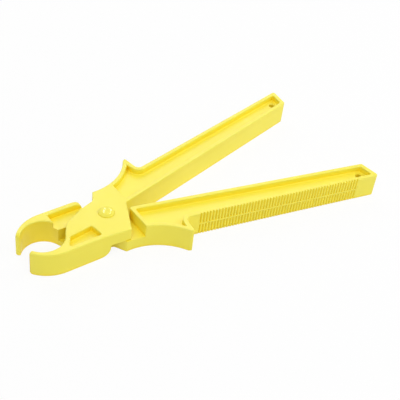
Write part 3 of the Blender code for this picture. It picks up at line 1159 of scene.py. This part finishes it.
class PULLER_OT_pin(Operator):
    """Model the rivet pin that joins the levers"""

    bl_idname = "puller.pin"
    bl_label = "Rivet pin"
    bl_options = {"REGISTER", "UNDO"}

    def execute(self, context):
        finish = context.scene.puller_finish
        plastic = moulded_plastic(
            "pin_plastic",
            finish,
            finish.pin_colour_painted_lighter,
            finish.lever_shade,
            finish.pin_roughness,
            finish.pin_grain,
        )
        pin = modelled_pin(context.scene.puller_pin)
        pick(pin)
        bpy.ops.object.shade_smooth_by_angle(angle=SMOOTH_ANGLE)
        coat(pin, plastic)
        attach(pin, "lower_lever")
        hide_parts("pivot_pin")
        return {"FINISHED"}


def floor_paper(stage):
    """Pale paper that shows white to the camera and keeps a soft shadow."""
    material = bpy.data.materials.new("floor_paper")
    material.use_nodes = True
    tree = material.node_tree
    tree.nodes.clear()
    place = node(tree, "ShaderNodeTexCoord", -900, -200)
    fibre = node(tree, "ShaderNodeTexNoise", -700, -200, Scale=900.0, Detail=3.0)
    link(tree, place, "Object", fibre, "Vector")
    bump = node(tree, "ShaderNodeBump", -450, -200, Strength=0.05, Distance=0.00002)
    link(tree, fibre, "Fac", bump, "Height")
    paper = node(tree, "ShaderNodeBsdfDiffuse", -200, -100, Color=opaque(stage.floor_colour))
    link(tree, bump, "Normal", paper, "Normal")
    glow = node(tree, "ShaderNodeEmission", -200, 100, Color=opaque(WHITE), Strength=1.0)
    mix = node(tree, "ShaderNodeMixShader", 100, 0)
    link(tree, seen_share(tree, FLOOR_WHITENESS), 0, mix, 0)
    link(tree, paper, 0, mix, 1)
    link(tree, glow, 0, mix, 2)
    out = node(tree, "ShaderNodeOutputMaterial", 300, 0)
    link(tree, mix, 0, out, "Surface")
    return material


def seen_share(tree, share):
    """A node that gives the share where a camera, glossy or transmitted ray looks, else none."""
    path = node(tree, "ShaderNodeLightPath", -900, 500)
    either = node(tree, "ShaderNodeMath", -650, 500, operation="MAXIMUM")
    link(tree, path, "Is Camera Ray", either, 0)
    link(tree, path, "Is Glossy Ray", either, 1)
    any_ray = node(tree, "ShaderNodeMath", -450, 500, operation="MAXIMUM")
    link(tree, either, 0, any_ray, 0)
    link(tree, path, "Is Transmission Ray", any_ray, 1)
    part = node(tree, "ShaderNodeMath", -250, 500, operation="MULTIPLY")
    part.inputs[1].default_value = share
    link(tree, any_ray, 0, part, 0)
    return part


def white_surroundings(stage):
    """White world: plain light from all round, pure white where it is seen."""
    world = bpy.data.worlds.new("studio")
    bpy.context.scene.world = world
    world.use_nodes = True
    tree = world.node_tree
    tree.nodes.clear()
    light = node(tree, "ShaderNodeBackground", -100, 0, Color=opaque(WHITE))
    light.inputs["Strength"].default_value = stage.world_light
    seen = node(tree, "ShaderNodeBackground", -100, 200, Color=opaque(WHITE), Strength=1.0)
    mix = node(tree, "ShaderNodeMixShader", 150, 0)
    link(tree, seen_share(tree, 1.0), 0, mix, 0)
    link(tree, light, 0, mix, 1)
    link(tree, seen, 0, mix, 2)
    out = node(tree, "ShaderNodeOutputWorld", 350, 0)
    link(tree, mix, 0, out, "Surface")


def area_lamp(name, place, target, width, height, power, roll=0.0):
    """A rectangular lamp that faces the target, turned about its own axis by the roll."""
    bpy.ops.object.select_all(action="DESELECT")
    bpy.ops.object.light_add(type="AREA", location=place)
    lamp = bpy.context.object
    lamp.name = name
    lamp.data.shape = "RECTANGLE"
    lamp.data.size = width
    lamp.data.size_y = height
    lamp.data.energy = power
    aim = (Vector(target) - Vector(place)).to_track_quat("-Z", "Y").to_matrix()
    lamp.rotation_euler = (aim @ Matrix.Rotation(roll, 3, "Z")).to_euler()
    return lamp


def studio_camera(stage):
    """The camera, turned about its own axis by the roll, with the pivot left of its centre."""
    x, y = polar(math.cos(stage.elevation), stage.azimuth - math.pi / 2.0)
    back = Vector((x, y, math.sin(stage.elevation)))
    level = Vector((math.cos(stage.azimuth), math.sin(stage.azimuth), 0.0))
    upright = back.cross(level)
    right = math.cos(stage.roll) * level + math.sin(stage.roll) * upright
    up = math.cos(stage.roll) * upright - math.sin(stage.roll) * level
    bpy.ops.object.select_all(action="DESELECT")
    bpy.ops.object.camera_add()
    camera = bpy.context.object
    camera.name = "studio_camera"
    place = stage.right * right + stage.up * up + stage.distance * back
    turn = Matrix((right, up, back)).transposed().to_4x4()
    camera.matrix_world = Matrix.Translation(place) @ turn
    camera.data.sensor_fit = "HORIZONTAL"
    camera.data.sensor_width = SENSOR_WIDTH
    camera.data.lens = stage.lens
    camera.data.clip_start = NEAREST_SEEN
    camera.data.clip_end = FARTHEST_SEEN
    bpy.context.scene.camera = camera


class PULLER_OT_stage(Operator):
    """Set up the pale floor, the soft studio light and the camera"""

    bl_idname = "puller.stage"
    bl_label = "Stage"
    bl_options = {"REGISTER", "UNDO"}

    def execute(self, context):
        stage = context.scene.puller_stage
        context.scene.view_settings.view_transform = "Standard"
        bpy.ops.object.select_all(action="DESELECT")
        bpy.ops.mesh.primitive_plane_add(size=FLOOR_SIZE, location=(0.0, 0.0, 0.0))
        floor = context.object
        floor.name = "floor"
        settle(floor)
        coat(floor, floor_paper(stage))
        white_surroundings(stage)
        lamps = (
            ("key_lamp", KEY_PLACE, KEY_SIZE, stage.key_power),
            ("side_lamp", SIDE_PLACE, SIDE_SIZE, stage.side_power),
            ("back_lamp", BACK_PLACE, BACK_SIZE, stage.back_power),
        )
        for name, place, size, power in lamps:
            lamp = area_lamp(name, place, LAMP_AIM, size, size, power)
            lamp.visible_glossy = False
        pin_top = (0.0, 0.0, THICKNESS)
        for name, aside in (("left_strip", STRIP_LEFT), ("right_strip", STRIP_RIGHT)):
            x, y = polar(math.cos(STRIP_HEIGHT), stage.azimuth + math.pi / 2.0 + aside)
            place = (x, y, math.sin(STRIP_HEIGHT))
            tilt = -math.copysign(STRIP_TILT, aside)
            strip = area_lamp(
                name, place, pin_top, STRIP_WIDTH, STRIP_LENGTH, stage.strip_power, tilt
            )
            strip.visible_diffuse = False
        studio_camera(stage)
        return {"FINISHED"}


class PULLER_PT_panel(Panel):
    """The puller's pieces and what can be changed on them"""

    bl_idname = "PULLER_PT_panel"
    bl_label = "Fuse puller"
    bl_space_type = "VIEW_3D"
    bl_region_type = "UI"
    bl_category = "Fuse puller"

    def draw(self, context):
        scene = context.scene
        groups = (
            (PULLER_OT_levers, scene.puller_lever),
            (PULLER_OT_pin, scene.puller_pin),
            (None, scene.puller_finish),
            (PULLER_OT_stage, scene.puller_stage),
        )
        for operator, group in groups:
            box = self.layout.box()
            for name in group.__annotations__:
                box.prop(group, name)
            if operator:
                box.operator(operator.bl_idname)


CLASSES = (
    PULLER_PG_lever,
    PULLER_PG_pin,
    PULLER_PG_finish,
    PULLER_PG_stage,
    PULLER_OT_levers,
    PULLER_OT_pin,
    PULLER_OT_stage,
    PULLER_PT_panel,
)


def register():
    for made in CLASSES:
        bpy.utils.register_class(made)
    bpy.types.Scene.puller_lever = PointerProperty(type=PULLER_PG_lever)
    bpy.types.Scene.puller_pin = PointerProperty(type=PULLER_PG_pin)
    bpy.types.Scene.puller_finish = PointerProperty(type=PULLER_PG_finish)
    bpy.types.Scene.puller_stage = PointerProperty(type=PULLER_PG_stage)


def unregister():
    del bpy.types.Scene.puller_stage
    del bpy.types.Scene.puller_finish
    del bpy.types.Scene.puller_pin
    del bpy.types.Scene.puller_lever
    for made in reversed(CLASSES):
        bpy.utils.unregister_class(made)


def main():
    register()
    bpy.ops.puller.levers()
    bpy.ops.puller.pin()
    bpy.ops.puller.stage()


if __name__ == "__main__":
    main()
